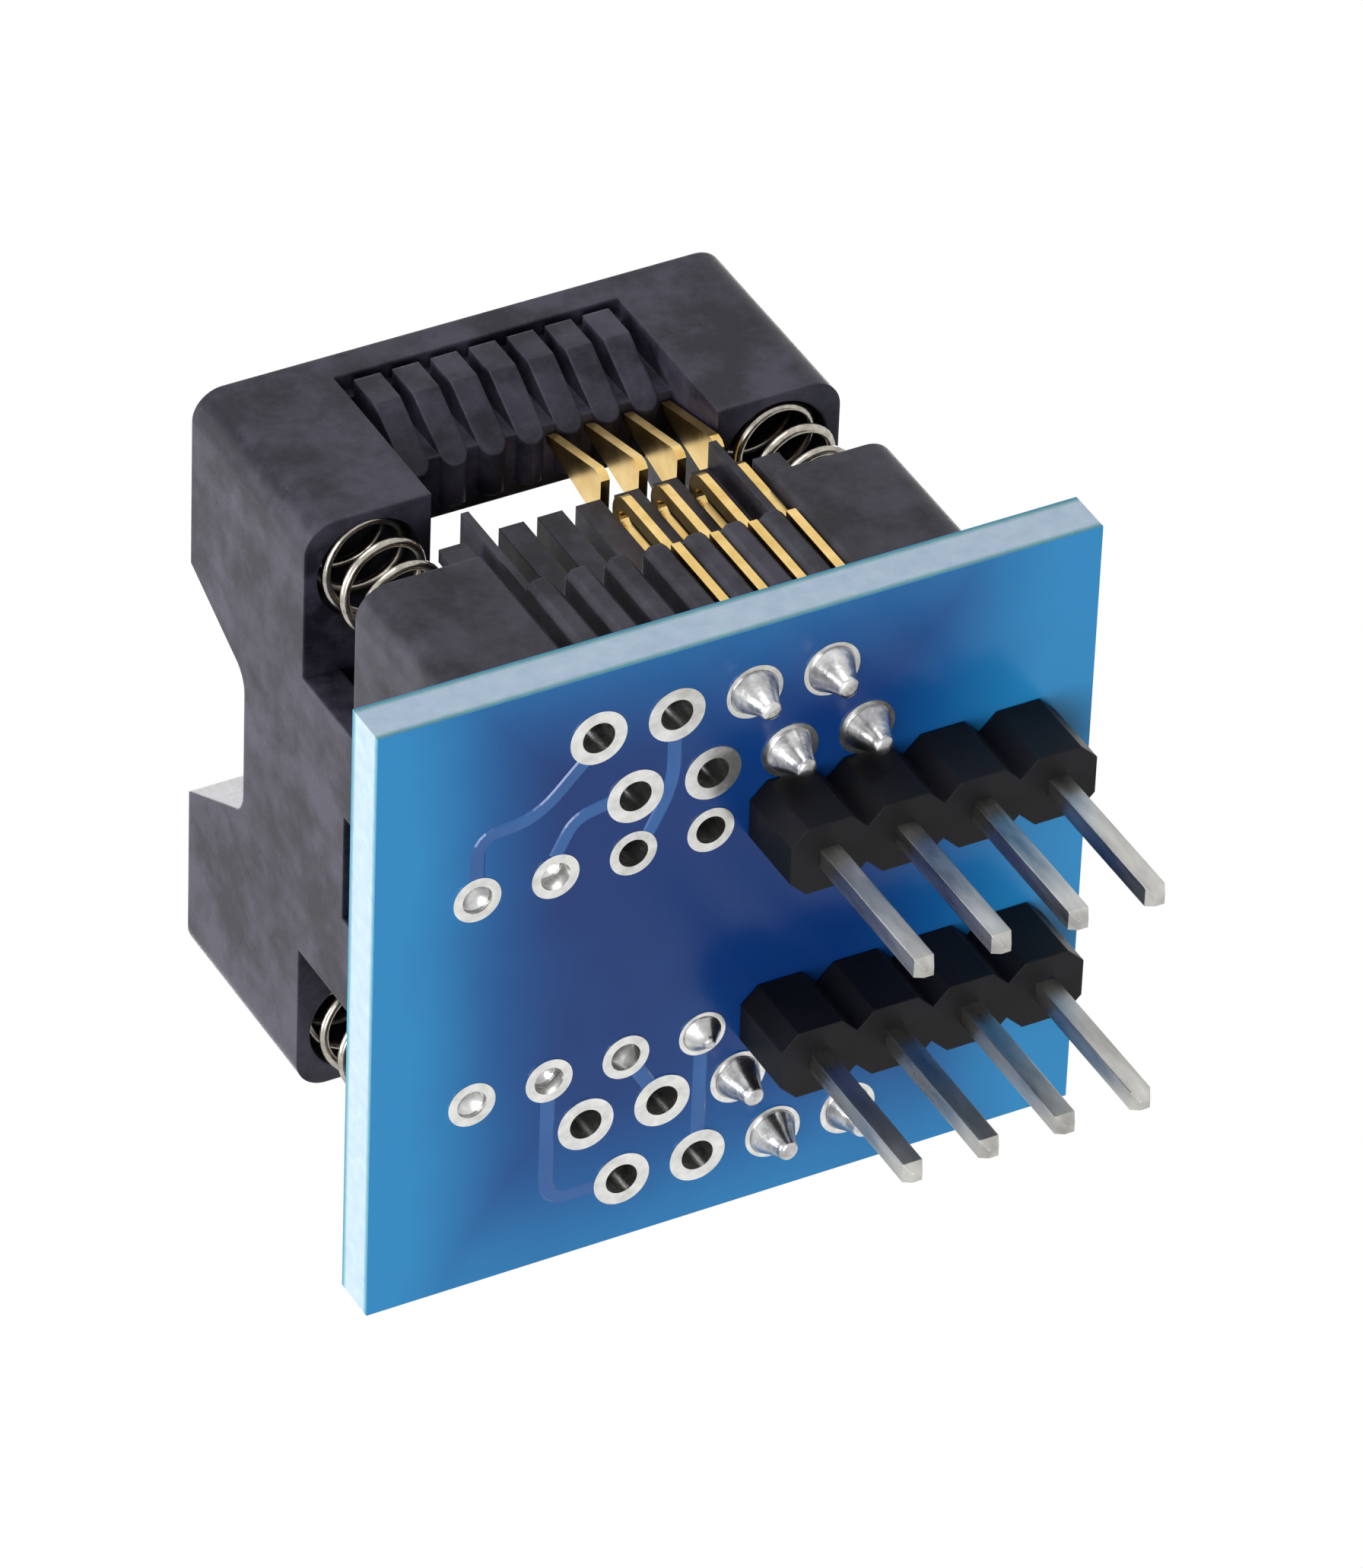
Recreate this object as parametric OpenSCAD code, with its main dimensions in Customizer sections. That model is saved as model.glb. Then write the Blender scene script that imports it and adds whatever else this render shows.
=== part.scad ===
// Open-top test socket for small-outline chips, on an adapter board that plugs
// into a dual in-line field. A sprung cover frame floats over the base; pressing
// it down works the levers of the contacts. Half of the contact places are used.
//
// Frame: +Z up, from the pins to the cover. The pin rows run along X.
// Origin: centre of the eight-pin field, in the plane of the headers' undersides.

/* [Pin headers] */
// Pitch of the header pins along a row
pin_pitch = 2.54; // [2.2:0.02:2.8]
// Distance between the two pin rows
row_span = 7.62; // [7.2:0.02:8]
// Side of a square pin
pin_w = 0.64; // [0.5:0.01:0.66]
// Length of a pin below the header's underside
pin_drop = 6; // [4:0.1:9]
// Length of a pin above the board
pin_stub = 1; // [0.8:0.05:1.15]
// Height of the header insulator
header_h = 2.54; // [1.5:0.02:3]
// Width of the header insulator
header_w = 2.4; // [1.8:0.05:2.5]
// Chamfer between two ways of the insulator
header_chamfer = 0.55; // [0.2:0.05:0.7]

/* [Board] */
// Length of the board along the pin rows
board_l = 23.65; // [22.5:0.05:26]
// From the side of the socket to the side of the board
board_rim = 0.2; // [0.1:0.05:1.5]
// Thickness of the board
board_t = 1.6; // [1:0.1:2]
// From the last header pin to the end of the board
board_margin = 2.56; // [1.5:0.02:4]
// Hole places in each row of the dual in-line field
field_ways = 8; // [8:1:8]
// Thickness of the copper lands
land_t = 0.05; // [0.03:0.01:0.08]
// Diameter of a land round a pin hole
pin_land_d = 1.55; // [1.4:0.05:1.8]
// Plated bore of a pin hole
pin_hole_d = 0.96; // [0.94:0.01:1.05]
// Diameter of a land round a contact hole
contact_land_d = 1.85; // [1.6:0.05:1.9]
// Plated bore of a contact hole
contact_hole_d = 1.05; // [0.9:0.05:1.2]
// Thickness of the plating in a hole
plating_t = 0.04; // [0.03:0.01:0.08]

/* [Socket] */
// Length of the socket along the contact rows
socket_l = 17.73; // [17.5:0.01:18.5]
// Width of the socket across the contact rows
socket_w = 21; // [20.8:0.1:21.1]
// Radius of the four upright corners
corner_r = 1; // [0.6:0.05:1.4]
// Pitch of the contacts
contact_pitch = 1.27; // [1.24:0.01:1.3]
// Travel of the cover
travel = 2; // [1:0.1:2]

/* [Base] */
// Top of the outer ridges above the board
ridge_h = 3.45; // [3:0.05:4]
// Top of the corner blocks above the board
block_h = 5.15; // [4.6:0.05:5.4]
// Top of the raised strips beside the comb
strip_h = 6.3; // [5.6:0.05:6.4]
// Top of the inner partitions above the board
partition_h = 7.6; // [7:0.05:7.8]
// Top of the rail that carries the chip
seat_h = 5.6; // [5:0.05:6]
// Width of the rail that carries the chip
seat_w = 3.6; // [3:0.1:4]
// Longest chip that the seat takes
chip_l = 10.3; // [9.8:0.1:10.5]
// Width of a contact slot
slot_w = 0.45; // [0.4:0.01:0.55]
// Bevel on the outer edges of a ridge
ridge_bevel = 0.2; // [0.05:0.05:0.3]
// From the side of the socket to the outer face of the inner partitions
partition_inset = 1.25; // [1.1:0.05:1.5]
// Height of the channels that clear the solder under the base
channel_h = 1.5; // [1.3:0.05:1.7]

/* [Cover] */
// Height of the cover frame
cover_h = 7.45; // [7:0.05:9]
// Underside of the corner blocks above the board
cover_lift = 8.45; // [8.45:0.05:9]
// Half the length of the top opening
opening_l = 5.8; // [5.6:0.05:6]
// Half the width of the top opening
opening_w = 5.4; // [5:0.1:5.8]
// Width of a lever slot in the cover
cover_slot_w = 0.4; // [0.36:0.01:0.5]
// Wall of the window beside the last lever slot
window_side = 0.1; // [0.05:0.01:0.15]
// Underside of the ribs above the corner blocks' underside
rib_lift = 2.5; // [2:0.05:2.8]
// Height of the rib's upright outer face
rib_face_h = 1.35; // [1:0.05:1.8]
// Height of the rib's sloping face
rib_slope_h = 2.2; // [1.8:0.05:2.4]
// Depth of the rib's sloping face
rib_slope_y = 1.3; // [0.8:0.05:1.5]
// Groove over the ribs
groove_h = 0.35; // [0.2:0.05:0.5]
// Half the width of the guide tongues
tongue_w = 5.1; // [4.8:0.05:5.2]
// Thickness of the guide tongues
tongue_t = 1.2; // [1:0.05:1.3]
// Depth of the finger notches in the end walls
notch_h = 3.65; // [2.5:0.05:3.8]
// Half the width of a notch at its floor
notch_floor_w = 2.9; // [2:0.05:3.2]
// Half the width of a notch at the top
notch_top_w = 4.4; // [3.6:0.05:4.8]
// Fillet at the notch's floor
notch_fillet = 1; // [0.6:0.05:1.1]

/* [Contacts] */
// Thickness of the contact sheet
contact_t = 0.3; // [0.25:0.01:0.34]
// Width of the spring strands
strand_w = 0.42; // [0.34:0.01:0.46]
// Top of the hairpin above the board
hairpin_h = 7; // [6.6:0.05:7.2]
// Underside of the contact arm above the board
arm_h = 7.75; // [7.6:0.05:7.8]
// Depth of the contact arm
arm_t = 0.6; // [0.5:0.05:0.65]
// Height of the lever above the arm
lever_h = 2.9; // [2.6:0.05:3]
// From the side of the socket to the lever's tip
lever_inset = 1.4; // [1.3:0.05:1.5]
// Outer hole row, from the middle
outer_row_y = 8.44; // [8.3:0.02:8.6]
// Inner hole row, from the middle
inner_row_y = 5.9; // [5.8:0.02:6.1]
// Length of the solder tail below the board
tail_drop = 1.1; // [0.8:0.05:1.4]

/* [Springs] */
// Mean diameter of a spring
spring_d = 2.8; // [2.5:0.05:2.9]
// Diameter of the spring wire
wire_d = 0.3; // [0.2:0.02:0.36]
// Turns of a spring
spring_turns = 9.5; // [7:0.5:10]
// Spring axis from the end of the socket
spring_inset_x = 2.115; // [2.065:0.01:2.165]
// Spring axis from the side of the socket
spring_inset_y = 2; // [1.9:0.01:2.1]
// Diameter of the spring pockets
pocket_d = 3.4; // [3.3:0.02:3.5]
// Depth of the spring pocket in the base
base_pocket = 3.5; // [3:0.05:4]
// Depth of the spring pocket in the cover
cover_pocket = 5.4; // [5:0.05:5.8]

/* [Solder] */
// Height of the solder cones under the contacts
cone_h = 1; // [0.6:0.05:1.2]
// Height of the solder fillets on the header pins
fillet_h = 0.7; // [0.4:0.05:0.75]

/* [Hidden] */

$fn = 48;
cut = 0.01;            // how far a cut passes the face it opens
run_gap = 0.15;        // sliding clearance of the cover on the base
cam_gap = 0.1;         // lever tip to the cover's cam
latch_gap = 0.05;      // latch nub to the edge of its window
stop_gap = 0.1;        // end of the chip rail to the end stops
solder_gap = 0.04;     // solder cone to the side of the header

header_ways = 4;
places = 8;            // contact places in a row
used = 4;              // places in a row that hold a contact

board_z = header_h + land_t;
deck_z = board_z + board_t;
base_z = deck_z + land_t;
board_x1 = pin_x(header_ways - 1) + board_margin;
board_x0 = board_x1 - board_l;

// The used places sit over the header end of the socket.
socket_x = -4.5 * contact_pitch;
half_l = socket_l / 2;
half_w = socket_w / 2;
board_w = socket_w + 2 * board_rim;
spring_x = half_l - spring_inset_x;
spring_y = half_w - spring_inset_y;
comb_half = (places - 1) / 2 * contact_pitch + cover_slot_w / 2 + window_side;
ridge_w = contact_pitch - slot_w;
rib_w = contact_pitch - cover_slot_w;
slot_in_y = inner_row_y - 0.45;
channel_y0 = row_span / 2 - 1.1;
channel_y1 = row_span / 2 + 1.1;

guide_w = tongue_w + run_gap;
end_x = half_l - tongue_t - run_gap;
comb_z = deck_z + block_h - 0.6;
lead_top = seat_h + 0.4;
lead_y = seat_w / 2 + 0.5;
partition_y = half_w - partition_inset;
partition_in_y = partition_y - 2.85;
stop_h = 1.4;
fin_t = 0.25;
fin_y = half_w - 0.3;
strip_x = opening_l - 0.2;
strip_y = half_w - 0.3;

cover_z = deck_z + cover_lift;
cover_top = cover_z + cover_h;
rib_z = cover_z + rib_lift;
knee_z = rib_z + rib_slope_h;
rib_top = knee_z + rib_face_h;
rib_in_y = half_w - 2.8;
lever_tip_y = half_w - lever_inset;
lever_top = deck_z + arm_h + arm_t + lever_h;
cam_z = lever_top + cam_gap;
cam_y = lever_tip_y + 0.3;
groove_t = 0.6;
cavity_w = opening_w + 1.2;
tongue_z = deck_z + land_t + 0.1 + travel;
latch_bar = 0.6;
nub_z = tongue_z + latch_bar + latch_gap;
nub_h = 0.7;
nub_w = 1.8;
latch_w = nub_w + 0.1;
latch_top = nub_z + nub_h + travel + 0.15;

spring_z0 = deck_z + block_h - base_pocket;
spring_z1 = cover_z + cover_pocket;

leg_y = half_w - 0.1;
leg_w = 0.8;
hairpin_gap = 0.55;
foot_z = deck_z + 0.3;
foot_t = 0.7;
tail_w = 0.5;

function pin_x(i) = (i - (header_ways - 1) / 2) * pin_pitch;
function place_x(i) = socket_x + (i - (places - 1) / 2) * contact_pitch;
function land_x(i) = pin_x(header_ways - 1 - i);
// Even places of the front row and odd places of the back row use the outer holes.
function hole_y(i, front) = ((i % 2 == 0) == front) ? outer_row_y : inner_row_y;

// Points of an arc about c, for an outline.
function arc(c, r, a0, a1, steps = 10) =
    [for (k = [0:steps]) let (a = a0 + (a1 - a0) * k / steps) c + r * [cos(a), sin(a)]];

module at_socket() translate([socket_x, 0, 0]) children();
module both_ends() { children(); mirror([1, 0, 0]) children(); }
module both_sides() { children(); mirror([0, 1, 0]) children(); }
module four_corners() both_ends() both_sides() children();

// A block about the middle in X, between two distances from the middle in Y.
module bar(x0, x1, y0, y1, z0, z1)
    translate([x0, y0, z0]) cube([x1 - x0, y1 - y0, z1 - z0]);

// A profile drawn as distance from the middle and height, extruded along X.
module along_x(x0, x1)
    translate([x0, 0, 0]) rotate([90, 0, 90]) linear_extrude(x1 - x0) children();

// The socket's outline, with round corners.
module outline_2d() {
    square([socket_l - 2 * corner_r, socket_w], center = true);
    square([socket_l, socket_w - 2 * corner_r], center = true);
    for (sx = [-1, 1], sy = [-1, 1])
        translate([sx * (half_l - corner_r), sy * (half_w - corner_r)]) circle(corner_r);
}

// ---- Cover ------------------------------------------------------------------

// Section of the comb wall, with its cam, over the lever slots.
module comb_roof_2d()
    polygon([[opening_w, cover_top], [half_w, cover_top], [half_w, rib_top + groove_h],
        [half_w - groove_t, rib_top + groove_h], [half_w - groove_t, rib_top],
        [cam_y, rib_top], [cam_y, cam_z], [rib_in_y - 0.5, cam_z],
        [rib_in_y - 0.8, cam_z + 1.5], [opening_w, cover_top - 1.1]]);

// Section of a rib between two lever slots.
module rib_2d()
    polygon([[rib_in_y, rib_z], [half_w - rib_slope_y, rib_z], [half_w, knee_z],
        [half_w, rib_top], [rib_in_y, rib_top]]);

module rib(x)
    intersection() {
        along_x(x - rib_w / 2, x + rib_w / 2) rib_2d();
        translate([x, half_w + 1, 0]) rotate([90, 0, 0]) linear_extrude(half_w) {
            translate([0, rib_z + rib_w / 2]) circle(rib_w / 2);
            translate([-rib_w / 2, rib_z + rib_w / 2]) square([rib_w, rib_top - rib_z]);
        }
    }

module cover_comb() {
    along_x(-comb_half - cut, comb_half + cut) comb_roof_2d();
    for (k = [1:places - 1]) rib((k - places / 2) * contact_pitch);
}

module notch_2d()
    polygon(concat(
        [[notch_top_w + 1 * (notch_top_w - notch_floor_w) / notch_h, cover_top + 1]],
        arc([notch_floor_w - notch_fillet, cover_top - notch_h + notch_fillet],
            notch_fillet, -20, -90, 6),
        arc([notch_fillet - notch_floor_w, cover_top - notch_h + notch_fillet],
            notch_fillet, -90, -160, 6),
        [[-notch_top_w - 1 * (notch_top_w - notch_floor_w) / notch_h, cover_top + 1]]));

module tongue()
    difference() {
        bar(half_l - tongue_t, half_l, -tongue_w, tongue_w, tongue_z, cover_z + 1);
        bar(half_l - 2 * tongue_t, half_l + 1, -latch_w, latch_w,
            nub_z - latch_gap, latch_top);
    }

module cover() color([0.16, 0.16, 0.18]) at_socket() {
    difference() {
        translate([0, 0, cover_z]) linear_extrude(cover_h) outline_2d();
        bar(-opening_l, opening_l, -opening_w, opening_w, cover_z - 1, cover_top + 1);
        bar(-opening_l, opening_l, -cavity_w, cavity_w, cover_z - 1, cover_top - 1.1);
        bar(-comb_half, comb_half, -half_w - 1, half_w + 1, cover_z - 1, rib_top + groove_h);
        bar(-comb_half, comb_half, -half_w + groove_t, half_w - groove_t,
            cover_z - 1, cover_top + 1);
        both_ends() along_x(opening_l - 1, half_l + 1) notch_2d();
        four_corners() translate([spring_x, spring_y, cover_z - 1])
            cylinder(d = pocket_d, h = cover_pocket + 1);
    }
    both_sides() cover_comb();
    both_ends() tongue();
}

// ---- Base -------------------------------------------------------------------

// Height profile of a partition, from the lead slots out to its outer face.
module partition_2d()
    polygon([[lead_y, base_z], [partition_y, base_z], [partition_y, deck_z + partition_h],
        [partition_in_y, deck_z + partition_h], [partition_in_y - 1.4, deck_z + lead_top],
        [lead_y, deck_z + lead_top]]);

// One slot from the board up, open at the outer face, with bevelled lips.
module contact_slot(x, y0) {
    bar(x - slot_w / 2, x + slot_w / 2, y0, half_w + 1, base_z - 1, cover_z);
    translate([x, half_w, base_z - 1]) linear_extrude(cover_z - base_z)
        polygon([[-slot_w / 2 - ridge_bevel - cut, cut], [slot_w / 2 + ridge_bevel + cut, cut],
            [0, -slot_w / 2 - ridge_bevel]]);
}

// Latch nub, sloped on top so that the tongue snaps over it.
module nub()
    translate([0, nub_w, 0]) rotate([90, 0, 0]) linear_extrude(2 * nub_w)
        polygon([[end_x - 0.2, nub_z], [half_l - 0.3, nub_z], [half_l - 0.3, nub_z + 0.2],
            [end_x, nub_z + nub_h], [end_x - 0.2, nub_z + nub_h]]);

module base_solid() {
    // Outline up to the ridges, cut back at the ends for the tongues.
    translate([0, 0, base_z]) linear_extrude(deck_z + ridge_h - base_z) difference() {
        outline_2d();
        for (sx = [-1, 1]) translate([sx * (end_x + half_l), 0])
            square([2 * half_l, 2 * guide_w], center = true);
    }
    // Corner blocks, and the strips beside the comb.
    translate([0, 0, deck_z + ridge_h - cut]) linear_extrude(block_h - ridge_h + cut)
        intersection() {
            outline_2d();
            for (sx = [-1, 1], sy = [-1, 1])
                translate([sx * (comb_half + half_l), sy * (guide_w + half_w)])
                    square([2 * half_l, 2 * half_w], center = true);
        }
    four_corners() bar(comb_half, strip_x, guide_w, strip_y, deck_z + ridge_h, deck_z + strip_h);
    // Floor of the seat, its rail and its end stops.
    bar(-end_x, end_x, -guide_w - cut, guide_w + cut, deck_z + ridge_h - cut, comb_z);
    bar(-chip_l / 2, chip_l / 2, -seat_w / 2, seat_w / 2, comb_z - cut, deck_z + seat_h);
    both_ends() bar(chip_l / 2 + stop_gap, strip_x, -lead_y - 1, lead_y + 1, comb_z - cut,
        deck_z + seat_h + stop_h);
}

module base_comb() {
    for (k = [1:places - 1]) let (x = (k - places / 2) * contact_pitch)
        along_x(x - ridge_w / 2, x + ridge_w / 2) partition_2d();
    // Thin fins that stand out at the first and last partitions.
    both_ends() let (x = (places / 2 - 1) * contact_pitch + ridge_w / 2)
        bar(x - fin_t, x, partition_y - cut, fin_y, deck_z, deck_z + partition_h);
}

module base() color([0.14, 0.14, 0.15]) at_socket() {
    difference() {
        union() {
            base_solid();
            both_sides() base_comb();
        }
        both_sides() for (i = [0:places - 1])
            contact_slot(place_x(i) - socket_x, slot_in_y);
        both_sides() for (i = [0:places - 1])
            bar(place_x(i) - socket_x - slot_w / 2, place_x(i) - socket_x + slot_w / 2,
                lead_y, slot_in_y + cut, comb_z - 0.4, cover_z);
        both_sides() bar(-half_l, half_l, channel_y0, channel_y1, base_z - 1,
            base_z + channel_h);
        four_corners() translate([spring_x, spring_y, spring_z0])
            cylinder(d = pocket_d, h = base_pocket + 2);
    }
    both_ends() nub();
}

// ---- Contacts ---------------------------------------------------------------

strand_out = leg_y - 0.35;                              // outer edge of the outer strand
hairpin_r = hairpin_gap / 2;
hairpin_y = strand_out - strand_w - hairpin_r;          // middle of the hairpin
hairpin_z = deck_z + hairpin_h - strand_w - hairpin_r;  // centre of its bend
return_y = hairpin_y - hairpin_r - strand_w;            // inner edge of the inner strand
bend_r = 0.75;                                          // inner radius of the lower bend
bend_z = deck_z + 2.9;
riser_y = return_y - 2 * bend_r;                        // outer edge of the riser
nose_y = lead_y + 0.5;
nose_z = deck_z + seat_h - 0.1;

// The spring: leg, hairpin, lower bend and riser, as one band.
module contact_spring_2d() {
    polygon(concat(
        [[strand_out - strand_w, foot_z], [strand_out, foot_z]],
        arc([hairpin_y, hairpin_z], hairpin_r + strand_w, 0, 180, 14),
        [[return_y, bend_z]],
        arc([return_y - bend_r, bend_z], bend_r, 0, -180, 10),
        [[riser_y, deck_z + arm_h + cut], [riser_y - strand_w, deck_z + arm_h + cut]],
        [[riser_y - strand_w, bend_z]],
        arc([return_y - bend_r, bend_z], bend_r + strand_w, -180, 0, 14),
        [[return_y + strand_w, hairpin_z]],
        arc([hairpin_y, hairpin_z], hairpin_r, 180, 0, 10)));
}

// The arm with its lever and nose.
module contact_arm_2d() {
    z0 = deck_z + arm_h;
    z1 = z0 + arm_t;
    polygon([[leg_y - 0.5, z0 + 0.15], [leg_y - 0.45, z0 + 0.4],
        [lever_tip_y + 0.1, lever_top - 0.1], [lever_tip_y, lever_top],
        [lever_tip_y - 0.15, lever_top - 0.1], [lever_tip_y - 0.75, z1 + 0.1],
        [lever_tip_y - 1.5, z1], [lever_tip_y - 3.1, z1 - 0.15],
        [nose_y + 1.6, nose_z + 1.1], [nose_y - 0.1, nose_z + 0.25],
        [nose_y - 0.2, nose_z], [nose_y + 0.25, nose_z], [nose_y + 2.1, nose_z + 0.9],
        [riser_y - strand_w - 0.3, z0], [leg_y - 0.65, z0]]);
}

// Foot plate in the base's slot, and the tail through the board.
module contact_foot_2d(tail_y) {
    polygon([[tail_y - tail_w / 2, foot_z], [leg_y, foot_z], [leg_y, deck_z + ridge_h - 0.05],
        [leg_y - leg_w, deck_z + ridge_h - 0.05], [leg_y - leg_w, foot_z + foot_t],
        [tail_y - tail_w / 2, foot_z + foot_t]]);
    translate([tail_y - tail_w / 2, board_z - tail_drop])
        square([tail_w, foot_z - board_z + tail_drop + cut]);
}

module contact_one(i, front)
    mirror([0, front ? 1 : 0, 0])
        along_x(place_x(i) - contact_t / 2, place_x(i) + contact_t / 2) {
            contact_spring_2d();
            contact_arm_2d();
            contact_foot_2d(hole_y(i, front));
        }

// Contacts 1 to 4 stand in the front row and 5 to 8 in the back row.
module contact(n)
    color([0.86, 0.68, 0.30])
        contact_one(places - used + (n - 1) % used, n <= used);

// ---- Springs ----------------------------------------------------------------

spring_steps = 16;      // rings in a turn
wire_sides = 6;

module spring_coil() {
    r = spring_d / 2;
    h = spring_z1 - spring_z0 - wire_d;
    rings = round(spring_turns * spring_steps);
    points = [for (k = [0:rings], s = [0:wire_sides - 1])
        let (a = 360 * k / spring_steps, b = 360 * s / wire_sides,
            q = r + wire_d / 2 * cos(b))
        [q * cos(a), q * sin(a), wire_d / 2 + h * k / rings + wire_d / 2 * sin(b)]];
    sides = [for (k = [0:rings - 1], s = [0:wire_sides - 1])
        let (p = k * wire_sides + s, q = k * wire_sides + (s + 1) % wire_sides)
        [p, p + wire_sides, q + wire_sides, q]];
    first = [for (s = [0:wire_sides - 1]) s];
    last = [for (s = [wire_sides - 1:-1:0]) rings * wire_sides + s];
    polyhedron(points, concat([first], sides, [last]));
}

// Springs 1 and 2 stand at the front corners and 3 and 4 at the back corners.
module spring(n)
    color([0.75, 0.75, 0.76])
        translate([socket_x + (n % 2 == 1 ? -1 : 1) * spring_x,
            (n <= 2 ? -1 : 1) * spring_y, spring_z0])
            spring_coil();

// ---- Board ------------------------------------------------------------------

module pin_places() for (i = [0:field_ways - 1], sy = [-1, 1])
    translate([land_x(i), sy * row_span / 2, 0]) children();

module contact_places() for (i = [0:places - 1], sy = [-1, 1])
    translate([place_x(i), sy * hole_y(i, sy < 0), 0]) children();

module board() color([0.16, 0.42, 0.70]) difference() {
    bar(board_x0, board_x1, -board_w / 2, board_w / 2, board_z, deck_z);
    pin_places() translate([0, 0, board_z - 1])
        cylinder(d = pin_hole_d + 2 * plating_t, h = board_t + 2);
    contact_places() translate([0, 0, board_z - 1])
        cylinder(d = contact_hole_d + 2 * plating_t, h = board_t + 2);
}

// A plated hole: barrel and two lands.
module plated_hole(bore, land)
    translate([0, 0, board_z]) difference() {
        union() {
            cylinder(d = bore + 2 * plating_t, h = board_t);
            translate([0, 0, -land_t]) cylinder(d = land, h = land_t);
            translate([0, 0, board_t]) cylinder(d = land, h = land_t);
        }
        translate([0, 0, -1]) cylinder(d = bore, h = board_t + 2);
    }

module hole_plating() color([0.80, 0.80, 0.80]) {
    pin_places() plated_hole(pin_hole_d, pin_land_d);
    contact_places() plated_hole(contact_hole_d, contact_land_d);
}

// ---- Headers ----------------------------------------------------------------

module header(sy) color([0.13, 0.13, 0.14]) translate([0, sy * row_span / 2, 0])
    linear_extrude(header_h) difference() {
        union() for (i = [0:header_ways - 1]) translate([pin_x(i), 0]) {
            h = pin_pitch / 2;
            w = header_w / 2;
            c = header_chamfer;
            polygon([[-h, -w + c], [c - h, -w], [h - c, -w], [h, -w + c],
                [h, w - c], [h - c, w], [c - h, w], [-h, w - c]]);
        }
        for (i = [0:header_ways - 1]) translate([pin_x(i), 0])
            square(pin_w, center = true);
    }

// A square pin with a blunt pyramid point at its lower end.
module header_pin(i, sy)
    color([0.78, 0.77, 0.74]) translate([pin_x(i), sy * row_span / 2, 0]) {
        point = pin_w / 2;
        translate([0, 0, (deck_z + pin_stub + point - pin_drop) / 2])
            cube([pin_w, pin_w, deck_z + pin_stub - point + pin_drop], center = true);
        intersection() {
            translate([0, 0, point - pin_drop]) cube([pin_w, pin_w, 2 * point], center = true);
            along_pin_point(point, 0);
            along_pin_point(point, 90);
        }
    }

module along_pin_point(point, turn)
    rotate([0, 0, turn]) rotate([90, 0, 0]) linear_extrude(pin_w, center = true)
        polygon([[-pin_w / 4, -pin_drop], [pin_w / 4, -pin_drop],
            [pin_w / 2, point - pin_drop], [pin_w / 2, 2 * point - pin_drop],
            [-pin_w / 2, 2 * point - pin_drop], [-pin_w / 2, point - pin_drop]]);

// ---- Solder -----------------------------------------------------------------

// The cones end short of the header's side.
cone_r = min(contact_land_d / 2 - 0.05, inner_row_y - row_span / 2 - header_w / 2 - solder_gap);

// Solder cones under the used contact places, each round its tail.
module contact_solder() color([0.80, 0.80, 0.79])
    for (i = [places - used:places - 1], sy = [-1, 1])
        translate([place_x(i), sy * hole_y(i, sy < 0), board_z - land_t]) difference() {
            mirror([0, 0, 1])
                cylinder(r1 = cone_r, r2 = 0.35, h = cone_h);
            cube([contact_t, tail_w, 4 * tail_drop], center = true);
        }

// Solder fillets on the upper ends of the header pins.
module pin_solder() color([0.80, 0.80, 0.79])
    for (i = [0:header_ways - 1], sy = [-1, 1])
        translate([pin_x(i), sy * row_span / 2, deck_z + land_t]) difference() {
            cylinder(r1 = pin_land_d / 2 - 0.15, r2 = pin_w * 0.75, h = fillet_h);
            cube([pin_w, pin_w, 4 * pin_stub], center = true);
        }

cover();
base();
board();
hole_plating();
contact(1);  // contact_1
contact(2);  // contact_2
contact(3);  // contact_3
contact(4);  // contact_4
contact(5);  // contact_5
contact(6);  // contact_6
contact(7);  // contact_7
contact(8);  // contact_8
spring(1);  // spring_1
spring(2);  // spring_2
spring(3);  // spring_3
spring(4);  // spring_4
header(-1);  // header_front
header(1);  // header_back
header_pin(0, -1);  // pin_1
header_pin(1, -1);  // pin_2
header_pin(2, -1);  // pin_3
header_pin(3, -1);  // pin_4
header_pin(3, 1);  // pin_5
header_pin(2, 1);  // pin_6
header_pin(1, 1);  // pin_7
header_pin(0, 1);  // pin_8
contact_solder();
pin_solder();
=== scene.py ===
"""Looks of the open-top test socket on its adapter board, in metres, in the frame of the CAD."""
import bpy
import math
import random
from mathutils import Matrix, Vector

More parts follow.
